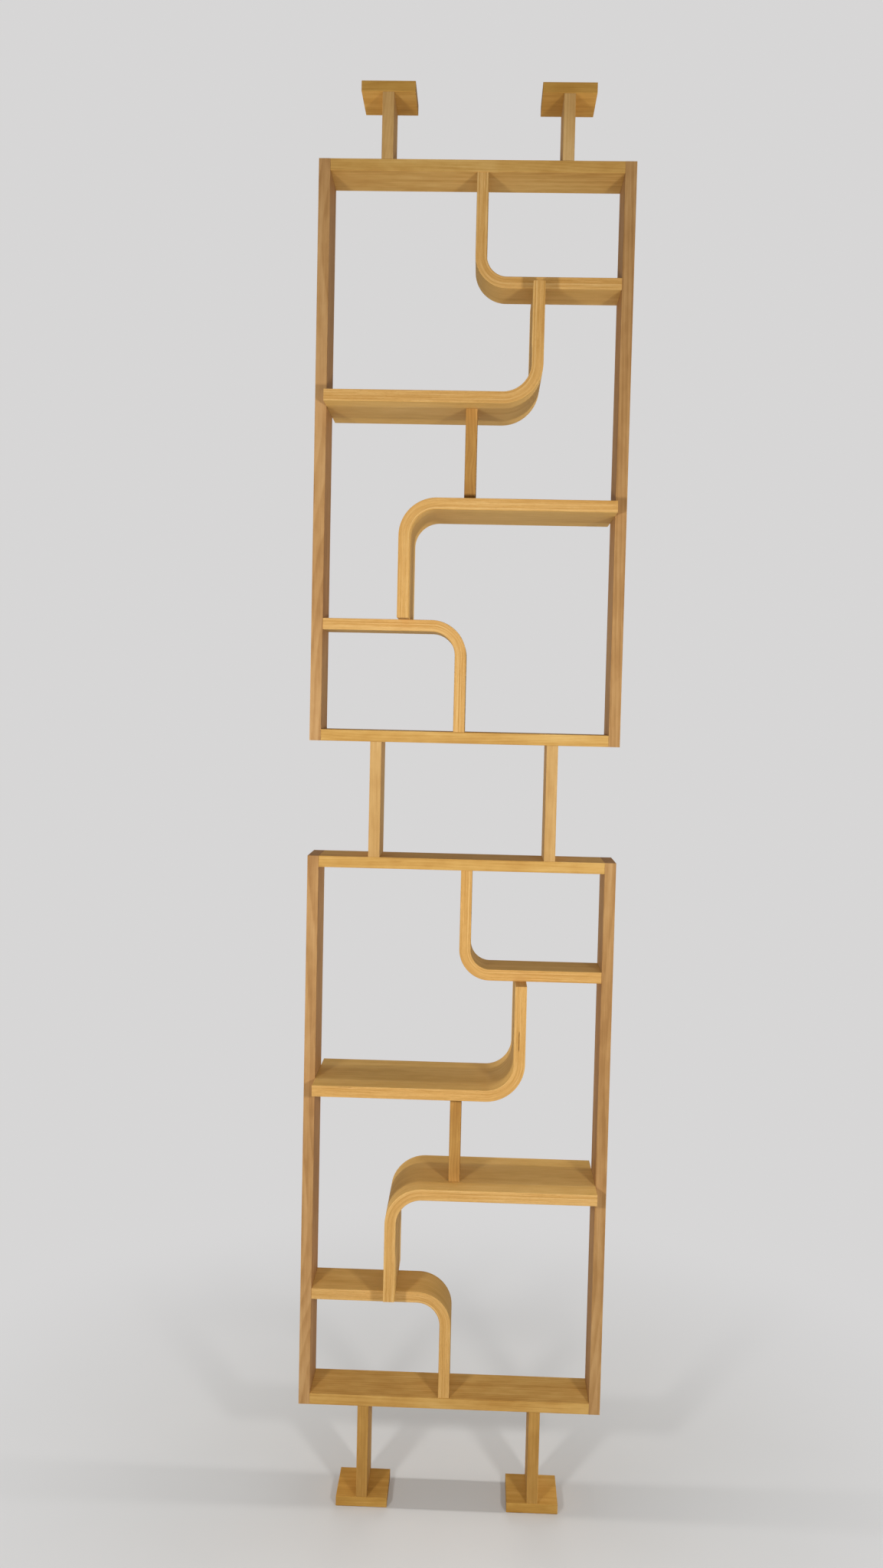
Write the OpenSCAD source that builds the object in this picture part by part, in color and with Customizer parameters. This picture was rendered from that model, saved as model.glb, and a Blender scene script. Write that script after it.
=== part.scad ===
// Room divider bookcase: two open beech frames stacked between floor and ceiling.
// Origin at the bottom centre, feet on z = 0, front towards -Y, millimetres.

/* [Frames] */
// Outer width of each frame
frame_w = 545; // [500:5:640]
// Height of each frame
frame_h = 1000; // [960:5:1100]
// Depth of the frame boards, and of every post
frame_d = 92; // [86:1:120]
// Thickness of the solid frame boards
board_t = 20; // [18:1:26]

/* [Bent shelves] */
// Thickness of the bent plywood
ply_t = 20; // [16:1:24]
// Depth of the two deep shelves in each frame
deep_d = 180; // [120:5:240]
// Depth of the two slim shelves in each frame
slim_d = 90; // [80:1:120]
// Clear height between a frame board and the nearest slim shelf
end_gap = 175; // [120:5:185]
// Clear height between a slim shelf and the next deep shelf
step_gap = 185; // [130:5:195]
// Distance from the centre line to the middle of a slim shelf's upturned leg
slim_leg_x = 10; // [0:1:30]
// Distance from the centre line to the middle of a deep shelf's upturned leg
deep_leg_x = 110; // [90:5:130]
// Inside bend radius of the upper slim shelf
slim_top_r = 35; // [20:1:60]
// Inside bend radius of the upper deep shelf
deep_top_r = 48; // [20:1:60]
// Inside bend radius of the lower deep shelf
deep_low_r = 45; // [20:1:60]
// Inside bend radius of the lower slim shelf
slim_low_r = 42; // [20:1:60]

/* [Posts] */
// Thickness of every straight post
post_t = 20; // [18:1:26]
// Distance from the centre line to the middle of the legs, middle posts and top posts
post_x = 155; // [100:5:200]
// Height of the legs under the lower frame
leg_h = 170; // [80:5:300]
// Height of the posts between the two frames
mid_post_h = 204; // [120:1:300]
// Height of the posts over the upper frame
top_post_h = 112; // [100:1:300]

/* [Plates] */
// Side of the square foot and ceiling plates
plate_side = 93; // [80:1:120]
// Thickness of the foot and ceiling plates
plate_t = 18; // [16:1:24]

/* [Dowels] */
// Diameter of the wooden dowels
dowel_d = 8; // [6:1:10]
// Length of the wooden dowels
dowel_l = 40; // [30:1:50]
// Depth of a dowel in the face that it enters
dowel_in_face = 12; // [8:1:13]
// Distance between the two dowels of a joint
dowel_pitch = 50; // [30:1:60]
// Free space at each end of a dowel
dowel_relief = 1; // [0.5:0.5:2]
// Radial gap round each dowel, for the glue
glue_gap = 0.05; // [0.02:0.01:0.1]

/* [Foot screws] */
// Diameter of the screw shank
screw_d = 4.5; // [3.5:0.5:5.5]
// Length of the screw under the plate's lower face
screw_l = 50; // [40:5:70]
// Diameter of the countersunk head
screw_head_d = 9; // [8:0.5:11]
// Depth of the head under the plate's lower face
screw_sink = 1; // [0.5:0.5:2]
// Width of the slot across the head
slot_w = 1.2; // [0.8:0.1:1.6]
// Depth of the slot across the head
slot_h = 1.2; // [0.8:0.1:1.6]
// Distance between the two screws of a foot
screw_pitch = 50; // [30:1:60]
// Radial gap round the screw
screw_gap = 0.05; // [0.02:0.01:0.1]

/* [Ceiling adjusters] */
// Diameter of the threaded stud under each ceiling plate
stud_d = 8; // [6:1:8]
// How far the stud screws out
stud_travel = 40; // [20:5:40]
// Length of stud left under the post's insert when it is screwed all the way out
stud_reserve = 2; // [1:1:6]
// Depth of the plate's insert and of the stud in it
plate_insert_l = 13; // [10:1:14]
// Outer diameter of the threaded inserts
insert_d = 12; // [11:0.5:13]
// Length of the insert in the post
post_insert_l = 20; // [15:1:25]
// Radial running gap between stud and insert
thread_gap = 0.05; // [0.02:0.01:0.1]
// Radial gap of the bore below the insert round the stud
stud_bore_gap = 0.5; // [0.3:0.1:1]
// Free depth of the bore under the stud
stud_bore_relief = 4; // [1:1:6]

/* [Edges] */
// Radius of the eased long edges
ease = 1; // [0.5:0.5:2]
// Radius of the easing round the cut ends of the straight boards
end_ease = 0.5; // [0.2:0.1:1]

/* [Hidden] */
$fn = 48;

// The two sides of a pair
left = -1;
right = 1;

// Levels of one frame, from its own underside
inner_w = frame_w - 2 * board_t;
low_slim_z = board_t + end_gap;
low_deep_z = low_slim_z + ply_t + step_gap;
top_slim_z = frame_h - board_t - end_gap - ply_t;
top_deep_z = top_slim_z - step_gap - ply_t;
short_post_h = top_deep_z - low_deep_z - ply_t;

// Levels of the whole divider, from the floor
lower_z = plate_t + leg_h;
mid_z = lower_z + frame_h;
upper_z = mid_z + mid_post_h;
crown_z = upper_z + frame_h;
ceiling_z = crown_z + top_post_h;

// Lengths of the stud and its bore inside the post, and the height of a countersunk head
stud_in_post = stud_travel + post_insert_l + stud_reserve;
stud_bore_depth = stud_in_post + stud_bore_relief;
screw_head_h = (screw_head_d - screw_d) / 2;

// How far a cut runs past the face that it opens
past = 1;

// Colours as the photograph shows them
solid_beech = [0.80, 0.58, 0.30];
bent_beech = [0.84, 0.64, 0.34];
post_beech = [0.82, 0.62, 0.33];
dowel_beech = [0.87, 0.73, 0.52];
bright_steel = [0.62, 0.62, 0.64];
brass = [0.78, 0.65, 0.34];

// A rectangle with its corners eased: x from 0 to t, centred on y
module section(t, d, r = ease) {
    translate([0, r - d / 2])
        square([t, d - 2 * r]);
    translate([r, -d / 2])
        square([t - 2 * r, d]);
    for (x = [r, t - r], y = [r - d / 2, d / 2 - r])
        translate([x, y])
            circle(r = r);
}

// A board standing on z = 0, centred on x and y, with its cut ends eased on all four sides
module upright_board(t, d, h) {
    intersection() {
        translate([-t / 2, 0, 0])
            linear_extrude(h)
                section(t, d);
        translate([0, d / 2, 0])
            rotate([90, 0, 0])
                linear_extrude(d)
                    rotate(90)
                        section(h, t, end_ease);
        translate([-t / 2, 0, 0])
            rotate([90, 0, 90])
                linear_extrude(t)
                    rotate(90)
                        section(h, d, end_ease);
    }
}

// The same board lying on z = 0, from x = 0 to x = l
module flat_board(t, d, l) {
    translate([0, 0, t / 2])
        rotate([0, 90, 0])
            upright_board(t, d, l);
}

// A bent board: a flat run from x = 0, an upward bend and a leg whose outer face is at x = run
module bent_board(run, rise, r, d) {
    reach = run - ply_t - r;
    translate([0, 0, ply_t])
        rotate([0, 90, 0])
            linear_extrude(reach)
                section(ply_t, d);
    translate([reach, 0, ply_t + r])
        rotate([90, 0, 0])
            rotate([0, 0, -90])
                rotate_extrude(angle = 90)
                    translate([r, 0])
                        section(ply_t, d);
    translate([run - ply_t, 0, ply_t + r])
        linear_extrude(rise - ply_t - r)
            section(ply_t, d);
}

// Two cylinders of one dowel joint: the origin is on the joint face, +Z into the end grain
module dowel_pair(r, more) {
    for (y = [-dowel_pitch / 2, dowel_pitch / 2])
        translate([0, y, -dowel_in_face - more])
            cylinder(r = r, h = dowel_l + 2 * more);
}

module dowels() {
    dowel_pair(dowel_d / 2, 0);
}

module dowel_holes() {
    dowel_pair(dowel_d / 2 + glue_gap, dowel_relief);
}

// Where the joints of one frame are; a child is drawn with +Z into the end grain
module at_corner(side, z) {
    translate([side * inner_w / 2, 0, z])
        rotate([0, -side * 90, 0])
            children();
}

module at_frame_corners(side) {
    for (z = [board_t / 2, frame_h - board_t / 2])
        at_corner(side, z)
            children();
}

module at_slim_top_end() {
    at_corner(right, top_slim_z + ply_t / 2)
        children();
}

module at_deep_top_end() {
    at_corner(left, top_deep_z + ply_t / 2)
        children();
}

module at_deep_low_end() {
    at_corner(right, low_deep_z + ply_t / 2)
        children();
}

module at_slim_low_end() {
    at_corner(left, low_slim_z + ply_t / 2)
        children();
}

// A leg that stands up to the face over it
module under_face(x, z) {
    translate([x, 0, z])
        mirror([0, 0, 1])
            children();
}

// A leg that stands down on the face under it
module over_face(x, z) {
    translate([x, 0, z])
        children();
}

module at_slim_top_leg() {
    under_face(slim_leg_x, frame_h - board_t)
        children();
}

module at_deep_top_leg() {
    under_face(deep_leg_x, top_slim_z)
        children();
}

module at_deep_low_leg() {
    over_face(-deep_leg_x, low_slim_z + ply_t)
        children();
}

module at_slim_low_leg() {
    over_face(-slim_leg_x, board_t)
        children();
}

module at_short_post_top() {
    under_face(0, top_deep_z)
        children();
}

module at_short_post_foot() {
    over_face(0, low_deep_z + ply_t)
        children();
}

// The joints under and over one frame, at both posts
module at_posts_below() {
    for (side = [left, right])
        under_face(side * post_x, 0)
            children();
}

module at_posts_above() {
    for (side = [left, right])
        over_face(side * post_x, frame_h)
            children();
}

// One frame's pieces, each drawn from the frame's own underside
module frame_upright(side) {
    color(solid_beech)
        difference() {
            translate([side * (frame_w - board_t) / 2, 0, 0])
                upright_board(board_t, frame_d, frame_h);
            at_frame_corners(side)
                dowel_holes();
            if (side == right) {
                at_slim_top_end()
                    dowel_holes();
                at_deep_low_end()
                    dowel_holes();
            } else {
                at_deep_top_end()
                    dowel_holes();
                at_slim_low_end()
                    dowel_holes();
            }
        }
}

module frame_board(z) {
    color(solid_beech)
        difference() {
            translate([-inner_w / 2, 0, z])
                flat_board(board_t, frame_d, inner_w);
            for (side = [left, right])
                at_frame_corners(side)
                    dowel_holes();
            at_slim_top_leg()
                dowel_holes();
            at_slim_low_leg()
                dowel_holes();
            at_posts_below()
                dowel_holes();
            at_posts_above()
                dowel_holes();
        }
}

module slim_shelf_top() {
    color(bent_beech)
        difference() {
            translate([inner_w / 2, 0, top_slim_z])
                mirror([1, 0, 0])
                    bent_board(inner_w / 2 - slim_leg_x + ply_t / 2, end_gap + ply_t, slim_top_r, slim_d);
            at_slim_top_end()
                dowel_holes();
            at_slim_top_leg()
                dowel_holes();
            at_deep_top_leg()
                dowel_holes();
        }
}

module deep_shelf_top() {
    color(bent_beech)
        difference() {
            translate([-inner_w / 2, 0, top_deep_z])
                bent_board(inner_w / 2 + deep_leg_x + ply_t / 2, step_gap + ply_t, deep_top_r, deep_d);
            at_deep_top_end()
                dowel_holes();
            at_deep_top_leg()
                dowel_holes();
            at_short_post_top()
                dowel_holes();
        }
}

module deep_shelf_low() {
    color(bent_beech)
        difference() {
            translate([inner_w / 2, 0, low_deep_z + ply_t])
                mirror([1, 0, 0])
                    mirror([0, 0, 1])
                        bent_board(inner_w / 2 + deep_leg_x + ply_t / 2, step_gap + ply_t, deep_low_r, deep_d);
            at_deep_low_end()
                dowel_holes();
            at_deep_low_leg()
                dowel_holes();
            at_short_post_foot()
                dowel_holes();
        }
}

module slim_shelf_low() {
    color(bent_beech)
        difference() {
            translate([-inner_w / 2, 0, low_slim_z + ply_t])
                mirror([0, 0, 1])
                    bent_board(inner_w / 2 - slim_leg_x + ply_t / 2, end_gap + ply_t, slim_low_r, slim_d);
            at_slim_low_end()
                dowel_holes();
            at_slim_low_leg()
                dowel_holes();
            at_deep_low_leg()
                dowel_holes();
        }
}

module short_post() {
    color(post_beech)
        difference() {
            translate([0, 0, low_deep_z + ply_t])
                upright_board(post_t, frame_d, short_post_h);
            at_short_post_top()
                dowel_holes();
            at_short_post_foot()
                dowel_holes();
        }
}

module frame_dowels() {
    color(dowel_beech)
        for (side = [left, right])
            at_frame_corners(side)
                dowels();
}

module shelf_dowels() {
    color(dowel_beech) {
        at_slim_top_end()
            dowels();
        at_deep_top_end()
            dowels();
        at_deep_low_end()
            dowels();
        at_slim_low_end()
            dowels();
        at_slim_top_leg()
            dowels();
        at_deep_top_leg()
            dowels();
        at_deep_low_leg()
            dowels();
        at_slim_low_leg()
            dowels();
        at_short_post_top()
            dowels();
        at_short_post_foot()
            dowels();
    }
}

// The pieces of one frame are raised to the lower or the upper place
module lower() {
    translate([0, 0, lower_z])
        children();
}

module upper() {
    translate([0, 0, upper_z])
        children();
}

// The countersunk screws that hold a foot plate, or their holes, under one leg
module foot_screw_pair(side, gap, more) {
    for (y = [-screw_pitch / 2, screw_pitch / 2])
        translate([side * post_x, y, screw_sink]) {
            translate([0, 0, -more])
                cylinder(r = screw_head_d / 2 + gap, h = more + gap);
            cylinder(r1 = screw_head_d / 2 + gap, r2 = screw_d / 2 + gap, h = screw_head_h);
            cylinder(r = screw_d / 2 + gap, h = screw_l + gap - screw_sink);
        }
}

module leg(side) {
    color(post_beech)
        difference() {
            translate([side * post_x, 0, plate_t])
                upright_board(post_t, frame_d, leg_h);
            lower()
                at_posts_below()
                    dowel_holes();
            foot_screw_pair(side, screw_gap, screw_sink + past);
        }
}

// A square plate lying on z = 0, with all its edges eased
module plate(side) {
    translate([side * post_x - plate_side / 2, 0, 0])
        intersection() {
            linear_extrude(plate_t)
                section(plate_side, plate_side);
            translate([0, 0, plate_t])
                rotate([0, 90, 0])
                    linear_extrude(plate_side)
                        section(plate_t, plate_side);
            translate([plate_side / 2, plate_side / 2, 0])
                rotate([90, 0, 0])
                    linear_extrude(plate_side)
                        rotate(90)
                            section(plate_t, plate_side);
        }
}

module foot_plate(side) {
    color(solid_beech)
        difference() {
            plate(side);
            foot_screw_pair(side, screw_gap, screw_sink + past);
        }
}

module leg_dowels() {
    color(dowel_beech)
        lower()
            at_posts_below()
                dowels();
}

// A screw has a straight slot across its head
module foot_screws() {
    color(bright_steel)
        for (side = [left, right])
            difference() {
                foot_screw_pair(side, 0, 0);
                for (y = [-screw_pitch / 2, screw_pitch / 2])
                    translate([side * post_x - screw_head_d, y - slot_w / 2, screw_sink - past])
                        cube([2 * screw_head_d, slot_w, slot_h + past]);
            }
}

module mid_post(side) {
    color(post_beech)
        difference() {
            translate([side * post_x, 0, mid_z])
                upright_board(post_t, frame_d, mid_post_h);
            lower()
                at_posts_above()
                    dowel_holes();
            upper()
                at_posts_below()
                    dowel_holes();
        }
}

module mid_post_dowels() {
    color(dowel_beech) {
        lower()
            at_posts_above()
                dowels();
        upper()
            at_posts_below()
                dowels();
    }
}

module top_post(side) {
    color(post_beech)
        difference() {
            translate([side * post_x, 0, crown_z])
                upright_board(post_t, frame_d, top_post_h);
            upper()
                at_posts_above()
                    dowel_holes();
            translate([side * post_x, 0, ceiling_z - post_insert_l])
                cylinder(r = insert_d / 2 + glue_gap, h = post_insert_l + past);
            translate([side * post_x, 0, ceiling_z - stud_bore_depth])
                cylinder(r = stud_d / 2 + stud_bore_gap, h = stud_bore_depth);
        }
}

module top_post_dowels() {
    color(dowel_beech)
        upper()
            at_posts_above()
                dowels();
}

// A threaded insert standing on z = 0
module insert(h) {
    color(brass)
        difference() {
            cylinder(r = insert_d / 2, h = h);
            translate([0, 0, -past])
                cylinder(r = stud_d / 2 + thread_gap, h = h + 2 * past);
        }
}

module post_inserts() {
    for (side = [left, right])
        translate([side * post_x, 0, ceiling_z - post_insert_l])
            insert(post_insert_l);
}

module ceiling_plate(side) {
    color(solid_beech)
        difference() {
            translate([0, 0, ceiling_z])
                plate(side);
            translate([side * post_x, 0, ceiling_z - past])
                cylinder(r = insert_d / 2 + glue_gap, h = plate_insert_l + past);
        }
}

module plate_insert(side) {
    translate([side * post_x, 0, ceiling_z])
        insert(plate_insert_l);
}

module stud(side) {
    color(bright_steel)
        translate([side * post_x, 0, ceiling_z - stud_in_post])
            cylinder(r = stud_d / 2, h = stud_in_post + plate_insert_l);
}

lower() frame_upright(left);  // lower_left_upright
lower() frame_upright(right);  // lower_right_upright
lower() frame_board(frame_h - board_t);  // lower_top_board
lower() frame_board(0);  // lower_bottom_board
lower() slim_shelf_top();  // lower_slim_shelf_top
lower() deep_shelf_top();  // lower_deep_shelf_top
lower() deep_shelf_low();  // lower_deep_shelf_low
lower() slim_shelf_low();  // lower_slim_shelf_low
lower() short_post();  // lower_short_post
lower() frame_dowels();  // lower_frame_dowels
lower() shelf_dowels();  // lower_shelf_dowels
upper() frame_upright(left);  // upper_left_upright
upper() frame_upright(right);  // upper_right_upright
upper() frame_board(frame_h - board_t);  // upper_top_board
upper() frame_board(0);  // upper_bottom_board
upper() slim_shelf_top();  // upper_slim_shelf_top
upper() deep_shelf_top();  // upper_deep_shelf_top
upper() deep_shelf_low();  // upper_deep_shelf_low
upper() slim_shelf_low();  // upper_slim_shelf_low
upper() short_post();  // upper_short_post
upper() frame_dowels();  // upper_frame_dowels
upper() shelf_dowels();  // upper_shelf_dowels
leg(left);  // left_leg
leg(right);  // right_leg
foot_plate(left);  // left_foot_plate
foot_plate(right);  // right_foot_plate
leg_dowels();
foot_screws();
mid_post(left);  // left_mid_post
mid_post(right);  // right_mid_post
mid_post_dowels();
top_post(left);  // left_top_post
top_post(right);  // right_top_post
top_post_dowels();
post_inserts();
ceiling_plate(left);  // left_ceiling_plate
ceiling_plate(right);  // right_ceiling_plate
plate_insert(left);  // left_plate_insert
plate_insert(right);  // right_plate_insert
stud(left);  // left_stud
stud(right);  // right_stud
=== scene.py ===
import math
import random

import bmesh
import bpy
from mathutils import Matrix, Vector


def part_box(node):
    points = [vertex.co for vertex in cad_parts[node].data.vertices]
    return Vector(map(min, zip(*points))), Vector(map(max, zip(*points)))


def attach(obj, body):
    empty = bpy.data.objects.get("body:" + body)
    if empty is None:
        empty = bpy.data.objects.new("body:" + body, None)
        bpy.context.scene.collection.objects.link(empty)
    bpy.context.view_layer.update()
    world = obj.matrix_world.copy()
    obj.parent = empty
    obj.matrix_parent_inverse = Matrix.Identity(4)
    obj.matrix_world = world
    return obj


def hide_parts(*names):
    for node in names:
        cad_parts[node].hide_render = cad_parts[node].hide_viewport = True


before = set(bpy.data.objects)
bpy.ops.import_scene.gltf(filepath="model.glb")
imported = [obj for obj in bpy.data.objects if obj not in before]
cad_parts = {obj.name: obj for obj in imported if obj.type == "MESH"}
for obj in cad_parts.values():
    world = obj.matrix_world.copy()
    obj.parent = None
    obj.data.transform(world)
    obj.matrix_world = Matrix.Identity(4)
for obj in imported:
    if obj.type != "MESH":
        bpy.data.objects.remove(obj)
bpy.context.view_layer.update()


def paint(red, green, blue):
    """A colour given as the 0 to 255 values that a picture shows."""
    def linear(value):
        share = value / 255
        return share / 12.92 if share <= 0.04045 else ((share + 0.055) / 1.055) ** 2.4
    return (linear(red), linear(green), linear(blue), 1.0)


# Bent shelves, in metres
THICK = 0.020  # thickness of the board
PLIES = 9  # layers in the board
EASE = 0.001  # radius of the eased long edges
END_EASE = 0.0004  # chamfer round the cut ends
EDGE_STEPS = 3  # segments round an eased edge
BEND_STEPS = 24  # segments round a bend
LONG_STEP = 0.020  # length of a segment on a straight run
FINE_STEP = 0.0008  # length of a segment beside an open ply
FINE_ROW = 0.0004  # height of a row beside an open ply
NEAR = 1e-6  # places closer than this are one place

# Which way a shelf runs from its upright, which way its leg turns, and its inside bend radius
SHELVES = {
    "slim_shelf_top": (-1, 1, 0.035),
    "deep_shelf_top": (1, 1, 0.048),
    "deep_shelf_low": (-1, -1, 0.045),
    "slim_shelf_low": (1, -1, 0.042),
}

# Open plies in a front edge: start and end along the board's path, depth below the inner face, openness
OPEN_PLIES = {
    "lower_deep_shelf_top": ((0.0455, 0.0725, 0.0016, 0.5), (0.4175, 0.4545, 0.0085, 1.0)),
}
OPEN_WIDTH = 0.0011  # height of the gap at its widest
OPEN_DEPTH = 0.0022  # how far it goes into the edge
OPEN_WAVES = 3.1  # times that an open ply widens and narrows along its length
OPEN_NARROW = 0.35  # its least width, as a share of the greatest
OPEN_TAPER = 3  # how quickly it deepens from its two ends

# Thread of the ceiling studs, in metres
THREAD_PITCH = 0.00125
THREAD_DEPTH = 0.00065  # from crest to root
THREAD_TIP = 0.0030  # radius of a stud's flat ends
THREAD_STEPS = 32  # segments in a turn
THREAD_FORM = (0.0, 0.125, 0.45, 0.55, 0.875)  # corners of its outline along one pitch
WELD = 1e-7  # points closer than this become one
SHARP = 25  # degrees between faces from which an edge stays sharp

# Wood tones: deep, middle and pale, as the photograph shows them in good light
BOARD = (paint(188, 140, 70), paint(208, 163, 90), paint(222, 182, 111))
UPRIGHT = (paint(168, 124, 76), paint(189, 145, 93), paint(204, 162, 110))
# The upright tones a little darker: painted shade on the right uprights, which stood in dimmer light
SHADED_RIGHT_UPRIGHT = (paint(163, 120, 72), paint(183, 140, 88), paint(198, 157, 105))
POST = (paint(192, 148, 88), paint(208, 167, 106), paint(220, 182, 124))
SHORT_POST = (paint(168, 122, 62), paint(187, 140, 74), paint(202, 157, 90))
LEG = (paint(176, 130, 64), paint(194, 148, 78), paint(208, 164, 96))
PLATE = (paint(178, 130, 58), paint(196, 149, 73), paint(212, 168, 92))
FACE_PLY = (paint(196, 153, 82), paint(210, 168, 96), paint(220, 180, 111))
EDGE_PLY = (paint(200, 150, 80), paint(217, 169, 99), paint(230, 188, 121))
GLUE_LINE = paint(160, 112, 54)
FLECK = paint(142, 98, 50)
END_GRAIN = paint(150, 106, 60)
# Painted shade inside an open ply's gap: the edge turns this dark where the gap sinks in
OPEN_PLY_SHADE = paint(92, 56, 28)

# Straight boards by the ends of their names: way of the grain, tones, share of the rings, sway of the grain
WOODS = (
    ("_left_upright", "z", UPRIGHT, 0.26, 0.0),
    # the right uprights take the painted-shade copy of the upright tones
    ("_right_upright", "z", SHADED_RIGHT_UPRIGHT, 0.28, 0.0),
    ("_board", "x", BOARD, 0.12, 0.0),
    ("_short_post", "z", SHORT_POST, 0.22, 0.024),
    ("_mid_post", "z", POST, 0.14, 0.0),
    ("_top_post", "z", POST, 0.14, 0.0),
    ("_leg", "z", LEG, 0.12, 0.0),
    ("_plate", "x", PLATE, 0.10, 0.0),
    ("_dowels", "x", POST, 0.10, 0.0),
)

# Noise in the wood: lumps in a metre along, across and through the board, then detail and roughness
STREAKS = ((1.3, 55, 55), 4.0, 0.6)
CLOUDS = ((3.5, 11, 11), 1.0, 0.5)
MOTTLE = ((26, 75, 75), 2.0, 0.5)
THREADS = ((4, 240, 240), 2.0, 0.5)
FIBRES = ((16, 1100, 1100), 3.0, 0.65)
RAYS = ((230, 1500, 1500), 1.0, 0.5)
RING_WANDER = ((2.4, 14, 14), 3.0, 0.5)
TRUNK_CURVE = ((1.4, 0, 0), 1.0, 0.5)
GRAIN_SWAY = ((9, 0, 0), 1.0, 0.5)
PLY_SWAY = ((7, 7, 90), 2.0, 0.5)
LINE_BREAKS = ((9, 1, 1), 3.0, 0.5)
EDGE_GRAIN = ((95, 800, 1300), 2.0, 0.6)

# How much each of them changes a tone, which runs from 0 to 1
TONE_SHARES = ((STREAKS, 1.0), (CLOUDS, 0.9), (MOTTLE, 0.7), (THREADS, 0.45))
FIBRE_SHARE = 0.9
EDGE_GRAIN_SHARE = 0.8
PLY_SHARE = 0.44  # how much one ply's tone differs from another's
TONE_STOPS = (0.1, 0.5, 0.9)  # where the three wood tones lie between 0 and 1
EDGE_STOPS = (0.05, 0.5, 0.95)  # and on the edges of the bent shelves

# Growth rings, in metres
RING = 0.0052  # thickness of one year's growth
RING_MIDDLE = 0.35  # ring value that leaves the tone as it is
LATE_WOOD = (0.10, 0.82)  # part of a ring over which it darkens
RING_CLOSE = (0.84, 1.0)  # part over which it turns pale again
PITH_AWAY = (0.05, 0.11)  # how far the heart of the tree lay outside a board
PITH_ASIDE = 0.03  # how far it lay to one side at most
PITH_LEAN = (1.0, 1.6)  # degrees by which a board leans to it at most
GRAIN_WANDER = 0.009  # how far the growth rings wander from straight lines
TRUNK_SWEEP = 0.075  # how far the trunk's own curve carries the rings across a board
FAR_ALONG = 40  # how far along its endless pattern a board may start, either way
FAR_ACROSS = 1  # and how far across it
BENT_RINGS = 0.16  # share of the rings in a bent shelf's tone

# Flecks of the rays and the cut ends
RAY_FLECKS = (0.62, 0.76)  # noise over which a fleck appears
SOLID_FLECKS = 0.22  # strength of the flecks in a straight board
BENT_FLECKS = 0.28  # and in a bent shelf
SOLID_ENDS = 0.5  # strength of the end grain's own colour on a straight board
BENT_ENDS = 0.45  # and on a bent shelf
END_FACING = (0.85, 0.95)  # how squarely a face looks along the board before it is an end

# Plies, in metres or as a share of one ply
PLY_WANDER = 0.0011  # how far the plies wander in depth
LINE_WIDTH = (0.03, 0.12)  # half width of a glue line's dark core, and of its whole
LINE_SHOWN = (0.36, 0.64)  # noise over which a glue line appears
LINE_STRENGTH = 0.58  # how dark a glue line is
JOINT_STEP = 5.3  # how far the breaks move from one glue line to the next
PLY_STEP = 3.7  # how far the figure moves from one ply to the next
PLY_TONES = 90  # a shelf's plies take their tones from anywhere in this long a row
FIRST_LINE = (0.0009, 0.0014)  # depth from which glue lines show
EDGE_TURN = (0.0001, 0.0007)  # depth over which a face turns into an edge

# Varnish
SATIN = (0.62, 0.76)  # roughness over dense and over open grain
GRAIN = (0.3, 0.7)  # fibre noise at dense and at open grain
SHEEN = 0.12  # specular level
RELIEF = 0.00005  # height of the fibres under it, in metres
FLECK_SINK = 0.6  # depth of a fleck as a share of that
LINE_SINK = 0.8  # depth of a glue line

# Metals: colour and roughness, and noise given as for the wood
STEEL = (paint(176, 176, 178), 0.34)
BRASS = (paint(196, 166, 96), 0.36)
TURNING_MARKS = ((300, 300, 4000), 1.0, 0.5)
MARK_NOISE = (0.3, 0.7)  # noise between two turning marks
MARK_ROUGHNESS = (-0.08, 0.1)  # change of roughness from mark to mark
MARK_DEPTH = 0.00002  # in metres
TARNISH = ((160, 160, 160), 3.0, 0.5)
TARNISH_NOISE = (0.45, 0.7)  # noise over which tarnish appears
TARNISH_DARK = 0.7  # brightness that tarnish leaves

# Camera: where the photograph was taken from, its turn in degrees and its lens in millimetres
CAMERA_PLACE = (0.0299, -2.3645, 1.4553)
CAMERA_TURN = (86.668, -1.279, 1.752)
CAMERA_LENS = 30.32

# Two lamps in front, in metres and watts
LIGHT_ASIDE = 0.81
LIGHT_AWAY = 1.74
LIGHT_HEIGHT = 1.33
LIGHT_SIZE = 0.22
LIGHT_POWER = 16.0
LAMP_COLOUR = (1.0, 0.98, 0.95)
# Lamps that fill in from behind, from both sides and from above: place, width and power
FILL_LIGHTS = (
    ((0.0, 3.2, 1.5), 2.0, 30.0),
    ((-3.0, 0.0, 1.4), 0.12, 33.0),
    ((3.0, 0.0, 1.4), 0.12, 33.0),
    ((0.0, 0.0, 5.0), 0.8, 28.0),
)

# Stage
SKY_LIGHT = 0.20  # strength of the even light from all round
SKY_COLOUR = (1.0, 0.99, 0.97, 1.0)
SURROUND = 0.68  # brightness of the background that the camera sees
SURROUND_COLOUR = (1.0, 0.99, 0.99, 1.0)
FLOOR_SIDE = 60.0
FLOOR_NEAR, FLOOR_FAR = 0.2, 1.4  # between these distances the floor turns into the surround
FLOOR_MOTTLE = ((1.5, 1.5, 1.5), 3.0, 0.5)
FLOOR_TONES = ((0.3, paint(209, 210, 211)), (0.7, paint(215, 216, 217)))


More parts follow.
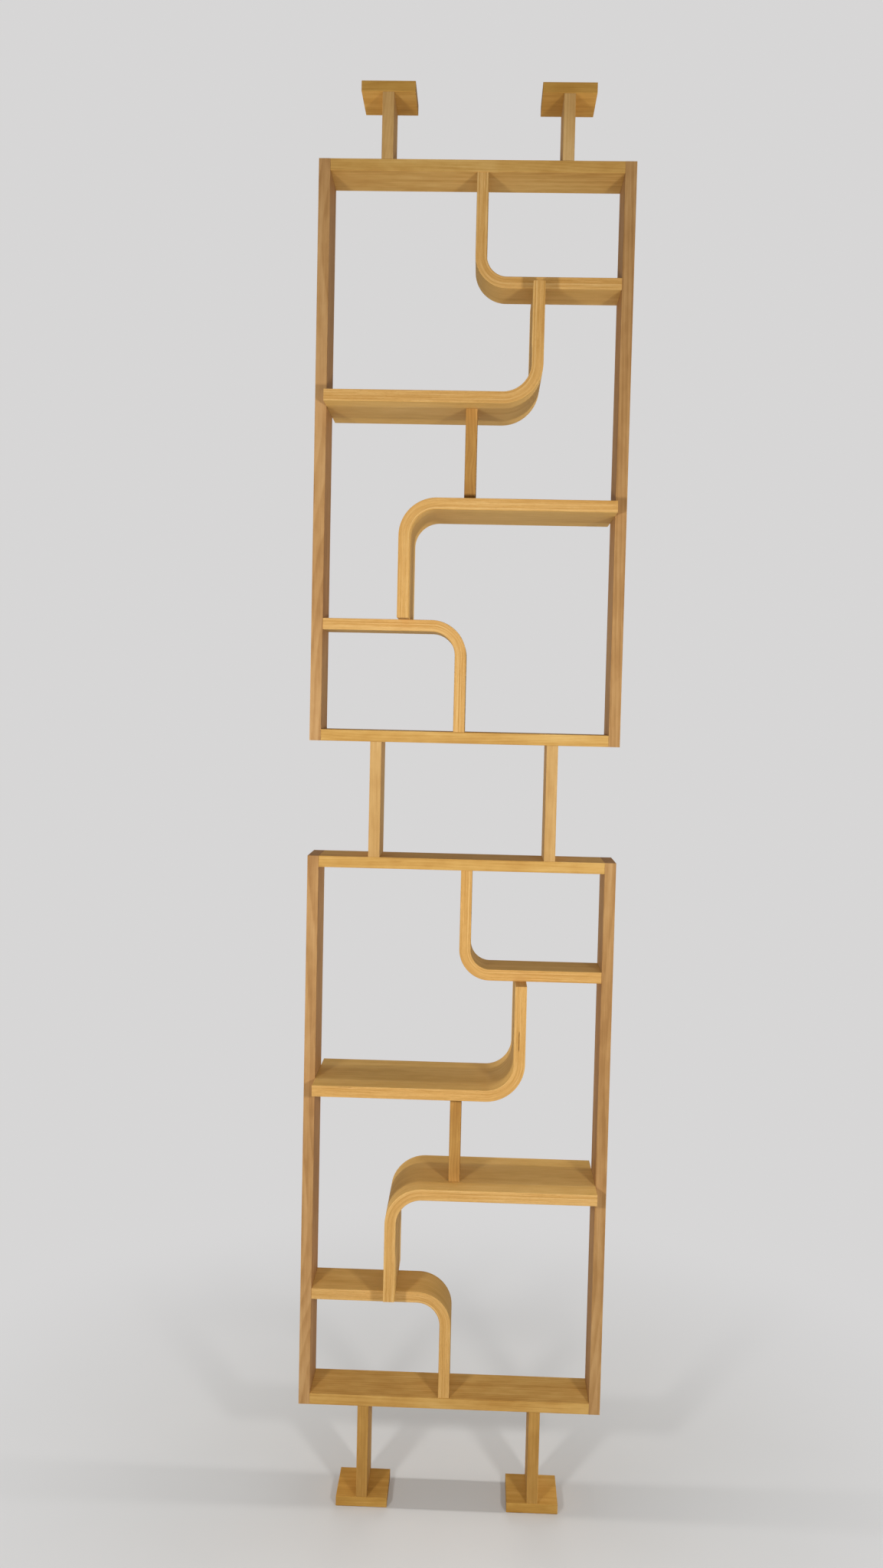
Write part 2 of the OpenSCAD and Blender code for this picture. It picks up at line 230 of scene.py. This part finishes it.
class Graph:
    """The nodes of a material or a world. A value given to one is a number, a colour or another's output."""

    def __init__(self, owner):
        self.owner = owner
        owner.use_nodes = True
        self.tree = owner.node_tree
        self.tree.nodes.clear()

    def node(self, kind, **settings):
        made = self.tree.nodes.new(kind)
        for name, value in settings.items():
            setattr(made, name, value)
        return made

    def put(self, socket, value):
        if isinstance(value, bpy.types.NodeSocket):
            self.tree.links.new(value, socket)
        else:
            socket.default_value = value

    def place(self, kind="Object"):
        return self.node("ShaderNodeTexCoord").outputs[kind]

    def stored(self, name):
        """A value that the mesh itself holds."""
        return self.node("ShaderNodeAttribute", attribute_name=name)

    def math(self, operation, *values, clamp=False):
        made = self.node("ShaderNodeMath", operation=operation, use_clamp=clamp)
        for socket, value in zip(made.inputs, values):
            self.put(socket, value)
        return made.outputs[0]

    def vector(self, operation, *values, result="Vector"):
        made = self.node("ShaderNodeVectorMath", operation=operation)
        for socket, value in zip(made.inputs, values):
            self.put(socket, value)
        return made.outputs[result]

    def split(self, vector):
        made = self.node("ShaderNodeSeparateXYZ")
        self.put(made.inputs[0], vector)
        return made.outputs

    def join(self, x, y, z):
        made = self.node("ShaderNodeCombineXYZ")
        for socket, value in zip(made.inputs, (x, y, z)):
            self.put(socket, value)
        return made.outputs[0]

    def noise(self, place, lumps, detail, roughness):
        """Noise over a place in metres, with its number of lumps in a metre each way."""
        made = self.node("ShaderNodeTexNoise")
        self.put(made.inputs["Vector"], self.vector("MULTIPLY", place, lumps))
        made.inputs["Scale"].default_value = 1.0
        made.inputs["Detail"].default_value = detail
        made.inputs["Roughness"].default_value = roughness
        return made.outputs["Fac"]

    def vary(self, value, layer, share, middle=0.5, clamp=False):
        """A value moved by a share of a layer's distance from its middle."""
        away = self.math("SUBTRACT", layer, middle)
        return self.math("MULTIPLY_ADD", away, share, value, clamp=clamp)

    def fit(self, value, low, high, to_low=0.0, to_high=1.0):
        """Maps low to to_low and high to to_high, smoothly, and holds them outside."""
        made = self.node("ShaderNodeMapRange", interpolation_type="SMOOTHSTEP")
        for socket, given in zip(made.inputs, (value, low, high, to_low, to_high)):
            self.put(socket, given)
        return made.outputs[0]

    def ramp(self, value, stops):
        made = self.node("ShaderNodeValToRGB")
        ends = made.color_ramp.elements
        while len(ends) < len(stops):
            ends.new(0.5)
        for end, (position, colour) in zip(ends, stops):
            end.position = position
            end.color = colour
        self.put(made.inputs[0], value)
        return made.outputs[0]

    def mix(self, share, first, second):
        made = self.node("ShaderNodeMix", data_type="RGBA")
        self.put(made.inputs[0], share)
        self.put(made.inputs[6], first)
        self.put(made.inputs[7], second)
        return made.outputs[2]

    def cover(self, strength, mask, under, over):
        """One colour over another, at a strength and where the mask is 1."""
        return self.mix(self.math("MULTIPLY", mask, strength), under, over)

    def shader(self, kind, **values):
        """A node with values on its named sockets, with _ for a space in a name."""
        made = self.node(kind)
        for name, value in values.items():
            self.put(made.inputs[name.replace("_", " ")], value)
        return made

    def blend(self, share, first, second):
        """A shader that goes from the first to the second as the share goes from 0 to 1."""
        made = self.node("ShaderNodeMixShader")
        for socket, value in zip(made.inputs, (share, first.outputs[0], second.outputs[0])):
            self.put(socket, value)
        return made

    def end(self, kind, last):
        """Ends the graph with an output node of that kind, and gives back its material or world."""
        self.put(self.node(kind).inputs[0], last.outputs[0])
        return self.owner

    def surface(self, colour, roughness, height, lift, **constants):
        """Ends a material with a Principled surface, whose bump is lift metres high."""
        bump = self.node("ShaderNodeBump")
        bump.inputs["Strength"].default_value = 1.0
        bump.inputs["Distance"].default_value = lift
        self.put(bump.inputs["Height"], height)
        principled = self.shader("ShaderNodeBsdfPrincipled", Base_Color=colour, Roughness=roughness,
                                 Normal=bump.outputs[0], **constants)
        return self.end("ShaderNodeOutputMaterial", principled)


def new_material(name):
    return Graph(bpy.data.materials.new(name))


def add_object(name, data):
    made = bpy.data.objects.new(name, data)
    bpy.context.scene.collection.objects.link(made)
    return made


# Wood and metal

def rings(graph, place, dice):
    """Growth rings round a pith outside the board: 0 in a ring's pale early wood, 1 at its dark late wood."""
    pith = graph.node("ShaderNodeMapping")
    away = dice.choice((-1, 1)) * dice.uniform(*PITH_AWAY)
    pith.inputs["Location"].default_value = (0, away, dice.uniform(-PITH_ASIDE, PITH_ASIDE))
    lean = [math.radians(dice.uniform(-limit, limit)) for limit in PITH_LEAN]
    pith.inputs["Rotation"].default_value = (0, lean[0], lean[1])
    graph.put(pith.inputs["Vector"], place)
    along, across, through = graph.split(pith.outputs[0])
    curve = graph.noise(graph.join(along, 0.0, 0.0), *TRUNK_CURVE)
    across = graph.math("MULTIPLY_ADD", curve, TRUNK_SWEEP, across)
    through = graph.math("MULTIPLY_ADD", curve, -TRUNK_SWEEP, through)
    square = graph.math("ADD", graph.math("POWER", across, 2.0), graph.math("POWER", through, 2.0))
    wander = graph.noise(place, *RING_WANDER)
    radius = graph.math("MULTIPLY_ADD", wander, GRAIN_WANDER, graph.math("SQRT", square))
    share = graph.math("FRACT", graph.math("DIVIDE", radius, RING))
    rise = graph.fit(share, *LATE_WOOD)
    fall = graph.fit(share, *RING_CLOSE, 1.0, 0.0)
    return graph.math("MULTIPLY", rise, fall)


def wood_layers(graph, place, dice, ring_share):
    """A beech figure as (tone from 0 to 1, fibres, short dark flecks of the rays)."""
    fibres = graph.noise(place, *FIBRES)
    flecks = graph.fit(graph.noise(place, *RAYS), *RAY_FLECKS)
    tone = 0.5
    for figure, share in TONE_SHARES:
        tone = graph.vary(tone, graph.noise(place, *figure), share)
    tone = graph.vary(tone, fibres, FIBRE_SHARE)
    tone = graph.vary(tone, rings(graph, place, dice), -ring_share, middle=RING_MIDDLE, clamp=True)
    return tone, fibres, flecks


def varnished(graph, colour, fibres, sunk, depth):
    """Ends a wood with its satin varnish, which sinks to that depth where sunk is 1."""
    roughness = graph.fit(fibres, *GRAIN, *SATIN)
    height = graph.math("MULTIPLY_ADD", sunk, -depth, fibres)
    return graph.surface(colour, roughness, height, RELIEF, Specular_IOR_Level=SHEEN)


def end_mask(graph, along):
    """1 on the two cut ends of a straight board."""
    x, _, z = graph.split(graph.place("Normal"))
    facing = graph.math("ABSOLUTE", x if along == "x" else z)
    return graph.fit(facing, *END_FACING)


def solid_wood(name, along, tones, ring_share, sway, centre):
    """Solid beech, with its grain along x or z and its pattern measured from the board's centre."""
    dice = random.Random(name)
    graph = new_material(name)
    x, y, z = graph.split(graph.vector("SUBTRACT", graph.place(), centre))
    lengthwise, through = (x, z) if along == "x" else (z, x)
    moved_along = graph.math("ADD", lengthwise, dice.uniform(-FAR_ALONG, FAR_ALONG))
    drift = graph.noise(graph.join(moved_along, 0.0, 0.0), *GRAIN_SWAY)
    moved = graph.join(moved_along, y, graph.math("MULTIPLY_ADD", drift, sway, through))
    tone, fibres, flecks = wood_layers(graph, moved, dice, ring_share)
    colour = graph.ramp(tone, tuple(zip(TONE_STOPS, tones)))
    colour = graph.cover(SOLID_FLECKS, flecks, colour, FLECK)
    colour = graph.cover(SOLID_ENDS, end_mask(graph, along), colour, END_GRAIN)
    return varnished(graph, colour, fibres, flecks, FLECK_SINK)


def ply_lines(graph, moved, depth):
    """The number of the ply at a depth, and the thin dark line between two plies, which comes and goes."""
    sway = graph.noise(moved, *PLY_SWAY)
    swayed = graph.math("MULTIPLY_ADD", sway, PLY_WANDER, depth)
    layer = graph.math("DIVIDE", swayed, THICK / PLIES)
    number = graph.math("FLOOR", layer)
    half_way = graph.math("ADD", layer, 0.5)
    away = graph.math("ABSOLUTE", graph.math("SUBTRACT", graph.math("FRACT", half_way), 0.5))
    thin = graph.fit(away, *LINE_WIDTH, 1.0, 0.0)
    joint = graph.math("FLOOR", half_way)
    own_joint = graph.join(graph.split(moved)[0], graph.math("MULTIPLY", joint, JOINT_STEP), 0.0)
    shown = graph.fit(graph.noise(own_joint, *LINE_BREAKS), *LINE_SHOWN)
    return number, graph.math("MULTIPLY", thin, shown)


def ply_edge(graph, moved, number, tone, line, cut, dice):
    """The colour of a bent shelf's edges, with a tone of its own for each ply."""
    ply_tone = graph.node("ShaderNodeTexWhiteNoise", noise_dimensions="1D")
    graph.put(ply_tone.inputs["W"], graph.math("ADD", number, dice.uniform(0, PLY_TONES)))
    tone = graph.vary(tone, ply_tone.outputs["Value"], PLY_SHARE)
    tone = graph.vary(tone, graph.noise(moved, *EDGE_GRAIN), EDGE_GRAIN_SHARE, clamp=True)
    colour = graph.ramp(tone, tuple(zip(EDGE_STOPS, EDGE_PLY)))
    colour = graph.cover(LINE_STRENGTH, line, colour, GLUE_LINE)
    return graph.cover(BENT_ENDS, cut, colour, END_GRAIN)


def bent_wood(name):
    """Laminated beech whose grain and plies follow the bend. The piece's mesh holds the unbent place."""
    dice = random.Random(name)
    graph = new_material(name)
    unbent = graph.stored("unbent").outputs["Vector"]
    cut = graph.stored("cut_end").outputs["Fac"]
    gap_shade = graph.stored("open_ply").outputs["Fac"]
    far = (dice.uniform(-FAR_ALONG, FAR_ALONG), dice.uniform(-FAR_ACROSS, FAR_ACROSS), 0.0)
    moved = graph.vector("ADD", unbent, far)
    depth = graph.split(unbent)[2]
    inside = graph.math("MINIMUM", depth, graph.math("SUBTRACT", THICK, depth))
    number, line = ply_lines(graph, moved, depth)
    line = graph.math("MULTIPLY", line, graph.fit(inside, *FIRST_LINE))

    x, y, z = graph.split(moved)
    own_ply = graph.join(graph.math("MULTIPLY_ADD", number, PLY_STEP, x), y, z)
    tone, fibres, flecks = wood_layers(graph, own_ply, dice, BENT_RINGS)
    face = graph.ramp(tone, tuple(zip(TONE_STOPS, FACE_PLY)))
    edge = ply_edge(graph, moved, number, tone, line, cut, dice)
    colour = graph.mix(graph.fit(inside, *EDGE_TURN), face, edge)
    colour = graph.cover(BENT_FLECKS, flecks, colour, FLECK)
    # painted shade darkens the edge inside an open ply's gap
    colour = graph.mix(gap_shade, colour, OPEN_PLY_SHADE)
    return varnished(graph, colour, fibres, line, LINE_SINK)


def metal(name, colour, roughness):
    """Metal with fine turning marks and a little tarnish."""
    graph = new_material(name)
    marks = graph.noise(graph.place(), *TURNING_MARKS)
    tarnish = graph.noise(graph.place(), *TARNISH)
    dull = tuple(TARNISH_DARK * value for value in colour[:3]) + (1.0,)
    shade = graph.mix(graph.fit(tarnish, *TARNISH_NOISE), colour, dull)
    gloss = graph.fit(marks, *MARK_NOISE, *(roughness + change for change in MARK_ROUGHNESS))
    return graph.surface(shade, gloss, marks, MARK_DEPTH, Metallic=1.0)


# Bent shelves

def open_share(name, path, depth):
    """How far a point of a shelf's front edge sinks into an open ply, from 0 to 1."""
    deepest = 0.0
    for start, end, below, openness in OPEN_PLIES.get(name, ()):
        middle, half = (start + end) / 2, (end - start) / 2
        lengthwise = 1 - ((path - middle) / half) ** 2
        if lengthwise > 0:
            swell = abs(math.sin(OPEN_WAVES * math.pi * (path - start) / (end - start)))
            spread = OPEN_WIDTH / 2 * (OPEN_NARROW + (1 - OPEN_NARROW) * swell)
            across = max(0.0, 1 - abs(depth - below) / spread)
            deepest = max(deepest, openness * min(1.0, lengthwise * OPEN_TAPER) * across)
    return deepest


def stations(name, reach, bend, leg):
    """Places along a shelf's path, closer together round the bend and beside an open ply."""
    total = reach + bend + leg
    runs = [(0, reach, LONG_STEP), (reach, bend, bend / BEND_STEPS), (reach + bend, leg, LONG_STEP)]
    for start, end, _, _ in OPEN_PLIES.get(name, ()):
        runs.append((start, end - start, FINE_STEP))
    found = {0.0, END_EASE, total - END_EASE, total}
    for start, length, step in runs:
        count = max(1, math.ceil(length / step - NEAR))
        found.update(start + length * k / count for k in range(count + 1))
    places = sorted(found)
    return [p for k, p in enumerate(places) if k == 0 or p - places[k - 1] > NEAR]


def section(name, depth):
    """(depth from the inner face, y) of the points round an eased section, its front edge first."""
    half = depth / 2
    rows = math.ceil(THICK / FINE_ROW) if name in OPEN_PLIES else 1
    points = [(EASE + (THICK - 2 * EASE) * row / rows, -half) for row in range(rows)]
    far, right = THICK - EASE, half - EASE
    for at, y, turn in ((far, -right, 0), (far, right, 90), (EASE, right, 180), (EASE, -right, 270)):
        for step in range(EDGE_STEPS + 1):
            angle = math.radians(turn + 90 * step / EDGE_STEPS)
            points.append((at + EASE * math.sin(angle), y - EASE * math.cos(angle)))
    return points[:-1]  # the last is the first again


def path_point(path, below, run, reach, radius):
    """How far along and how high a point is at that path and that depth below the inner face."""
    middle = radius + THICK / 2
    bend = middle * math.pi / 2
    if path < reach:
        return path, THICK - below
    if path > reach + bend:
        return run - THICK + below, THICK + radius + path - reach - bend
    angle = (path - reach) / middle
    along = reach + (radius + below) * math.sin(angle)
    return along, THICK + radius - (radius + below) * math.cos(angle)


def wrap(around, count):
    """The faces between that many rings of points, with around points in a ring."""
    faces = []
    for first in range(0, (count - 1) * around, around):
        for m in range(around):
            n = (m + 1) % around
            faces.append((first + m, first + n, first + around + n, first + around + m))
    return faces


def bent_shelf(name, kind):
    """A bent board with eased edges, in the place of the CAD node of that name."""
    way, turn, radius = SHELVES[kind]
    low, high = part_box(name)
    run, rise, depth = high.x - low.x, high.z - low.z, high.y - low.y
    start_x = low.x if way > 0 else high.x
    base_z = low.z if turn > 0 else high.z
    reach, leg = run - THICK - radius, rise - THICK - radius
    bend = (radius + THICK / 2) * math.pi / 2
    total = reach + bend + leg

    ring, places = section(name, depth), stations(name, reach, bend, leg)
    points, unbent, sunk = [], [], []
    for path in places:
        inset = END_EASE if path in (0.0, total) else 0.0
        for below, y in ring:
            share = open_share(name, path, below) if abs(y + depth / 2) < NEAR else 0.0
            below_in = min(max(below, inset), THICK - inset)
            y_in = math.copysign(min(abs(y), depth / 2 - inset), y) + OPEN_DEPTH * share
            along, up = path_point(path, below_in, run, reach, radius)
            points.append((start_x + way * along, y_in, base_z + turn * up))
            unbent.append((path, y_in, below_in))
            sunk.append(share)
    around = len(ring)
    faces = wrap(around, len(places))
    cut = [0.0] * len(faces)
    last = len(points) - around
    for corners in (range(around - 1, -1, -1), range(last, last + around)):
        first = len(points)
        for corner in corners:
            points.append(points[corner])
            unbent.append(unbent[corner])
            sunk.append(0.0)
        faces.append(tuple(range(first, first + around)))
        cut.append(1.0)
    if way * turn < 0:
        faces = [tuple(reversed(face)) for face in faces]

    mesh = bpy.data.meshes.new(name + "_laminated")
    mesh.from_pydata(points, [], faces)
    flat = [value for point in unbent for value in point]
    mesh.attributes.new("unbent", "FLOAT_VECTOR", "POINT").data.foreach_set("vector", flat)
    mesh.attributes.new("open_ply", "FLOAT", "POINT").data.foreach_set("value", sunk)
    mesh.attributes.new("cut_end", "FLOAT", "FACE").data.foreach_set("value", cut)
    mesh.shade_smooth()
    mesh.validate()
    mesh.materials.append(bent_wood("beech_" + name))
    piece = add_object(name + "_laminated", mesh)
    piece.modifiers.new("Face normals", "WEIGHTED_NORMAL").keep_sharp = True
    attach(piece, "frame")
    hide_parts(name)


# Ceiling studs

def threaded_stud(name, body, material):
    """A stud with one unbroken thread and chamfered ends, in the place of the CAD node of that name."""
    low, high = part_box(name)
    middle = (low + high) / 2
    crest = (high.x - low.x) / 2
    root = crest - THREAD_DEPTH
    profile = tuple(zip(THREAD_FORM, (root, root, crest, crest, root)))
    turns = math.ceil((high.z - low.z) / THREAD_PITCH) + 2
    count = turns * THREAD_STEPS
    points, faces = [], []
    for step in range(count + 1):
        angle = 2 * math.pi * step / THREAD_STEPS
        for share, radius in profile:
            z = low.z + THREAD_PITCH * (step / THREAD_STEPS + share - 1)
            z = min(max(z, low.z), high.z)
            radius = min(radius, THREAD_TIP + min(z - low.z, high.z - z))
            points.append((middle.x + radius * math.cos(angle), middle.y + radius * math.sin(angle), z))
    wide = len(profile)
    for step in range(count):
        here, ahead = step * wide, (step + 1) * wide
        for k in range(wide - 1):
            faces.append((here + k, ahead + k, ahead + k + 1, here + k + 1))
        if step + THREAD_STEPS < count:
            above = here + THREAD_STEPS * wide
            faces.append((here + wide - 1, ahead + wide - 1, above + wide, above))
    mesh = bpy.data.meshes.new(name + "_threaded")
    mesh.from_pydata(points, [], faces)
    form = bmesh.new()
    form.from_mesh(mesh)
    bmesh.ops.remove_doubles(form, verts=form.verts, dist=WELD)
    bmesh.ops.holes_fill(form, edges=form.edges, sides=0)
    bmesh.ops.recalc_face_normals(form, faces=form.faces)
    form.to_mesh(mesh)
    form.free()
    mesh.shade_smooth()
    mesh.set_sharp_from_angle(angle=math.radians(SHARP))
    mesh.materials.append(material)
    piece = add_object(name + "_threaded", mesh)
    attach(piece, body)
    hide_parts(name)


# Pieces that keep their CAD shape

def dress(name, material):
    """Gives a CAD node one material."""
    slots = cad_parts[name].data.materials
    slots.clear()
    slots.append(material)


def dress_wood():
    """Each straight board and each group of dowels gets its own wood."""
    for name in sorted(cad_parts):
        for ending, along, tones, ring_share, sway in WOODS:
            if name.endswith(ending):
                low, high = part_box(name)
                dress(name, solid_wood("beech_" + name, along, tones, ring_share, sway, (low + high) / 2))


def dress_metal():
    """The metal of the feet and of the ceiling adjusters."""
    steel = metal("zinc_steel", *STEEL)
    brass = metal("brass", *BRASS)
    for name in sorted(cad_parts):
        if name.endswith("stud"):
            threaded_stud(name, name.replace("stud", "plate"), steel)
        elif name.endswith("screws"):
            dress(name, steel)
        elif name.endswith(("insert", "inserts")):
            dress(name, brass)


# Stage, lamps and camera

def seen_share(graph):
    """1 for what the camera sees, directly or in a mirror or through glass, and 0 for the light on things."""
    rays = graph.node("ShaderNodeLightPath")
    seen = graph.math("MAXIMUM", rays.outputs["Is Camera Ray"], rays.outputs["Is Glossy Ray"])
    return graph.math("MAXIMUM", seen, rays.outputs["Is Transmission Ray"])


def floor_material():
    """Pale matt flooring that keeps the shadow near the object and shows as the surround further out."""
    graph = new_material("pale_floor")
    colour = graph.ramp(graph.noise(graph.place(), *FLOOR_MOTTLE), FLOOR_TONES)
    matt = graph.shader("ShaderNodeBsdfDiffuse", Color=colour)
    shine = graph.shader("ShaderNodeEmission", Color=SURROUND_COLOUR, Strength=SURROUND)
    distance = graph.vector("LENGTH", graph.place(), result="Value")
    far = graph.math("MULTIPLY", graph.fit(distance, FLOOR_NEAR, FLOOR_FAR), seen_share(graph))
    return graph.end("ShaderNodeOutputMaterial", graph.blend(far, matt, shine))


def build_stage():
    """A pale floor and a pale surround that shines in metal but adds no light."""
    mesh = bpy.data.meshes.new("floor")
    half = FLOOR_SIDE / 2
    corners = [(-half, -half, 0), (half, -half, 0), (half, half, 0), (-half, half, 0)]
    mesh.from_pydata(corners, [], [(0, 1, 2, 3)])
    mesh.materials.append(floor_material())
    add_object("floor", mesh)

    world = bpy.data.worlds.new("surround")
    bpy.context.scene.world = world
    graph = Graph(world)
    light = graph.shader("ShaderNodeBackground", Color=SKY_COLOUR, Strength=SKY_LIGHT)
    wall = graph.shader("ShaderNodeBackground", Color=SURROUND_COLOUR, Strength=SURROUND)
    graph.end("ShaderNodeOutputWorld", graph.blend(seen_share(graph), light, wall))


def area_lamp(place, size, power):
    """A round lamp that faces the divider's middle."""
    lamp = bpy.data.lights.new("lamp", "AREA")
    lamp.shape = "DISK"
    lamp.size = size
    lamp.energy = power
    lamp.color = LAMP_COLOUR
    holder = add_object("lamp", lamp)
    holder.location = place
    aim = Vector((0.0, 0.0, LIGHT_HEIGHT))
    holder.rotation_euler = (aim - holder.location).to_track_quat("-Z", "Y").to_euler()
    return holder


def build_lights():
    """Two lamps in front, either side of the camera, and others round the divider that add no glare."""
    for side in (-1, 1):
        area_lamp((side * LIGHT_ASIDE, -LIGHT_AWAY, LIGHT_HEIGHT), LIGHT_SIZE, LIGHT_POWER)
    for place, size, power in FILL_LIGHTS:
        area_lamp(place, size, power).visible_glossy = False


def build_camera():
    """A camera that stands and looks as the photograph's did."""
    lens = bpy.data.cameras.new("camera")
    lens.lens = CAMERA_LENS
    holder = add_object("camera", lens)
    holder.location = CAMERA_PLACE
    holder.rotation_euler = [math.radians(angle) for angle in CAMERA_TURN]
    bpy.context.scene.camera = holder


build_camera()
build_stage()
build_lights()
dress_wood()
dress_metal()
for level in ("lower", "upper"):
    for kind in SHELVES:
        bent_shelf(f"{level}_{kind}", kind)

bpy.context.scene.view_settings.view_transform = "Standard"
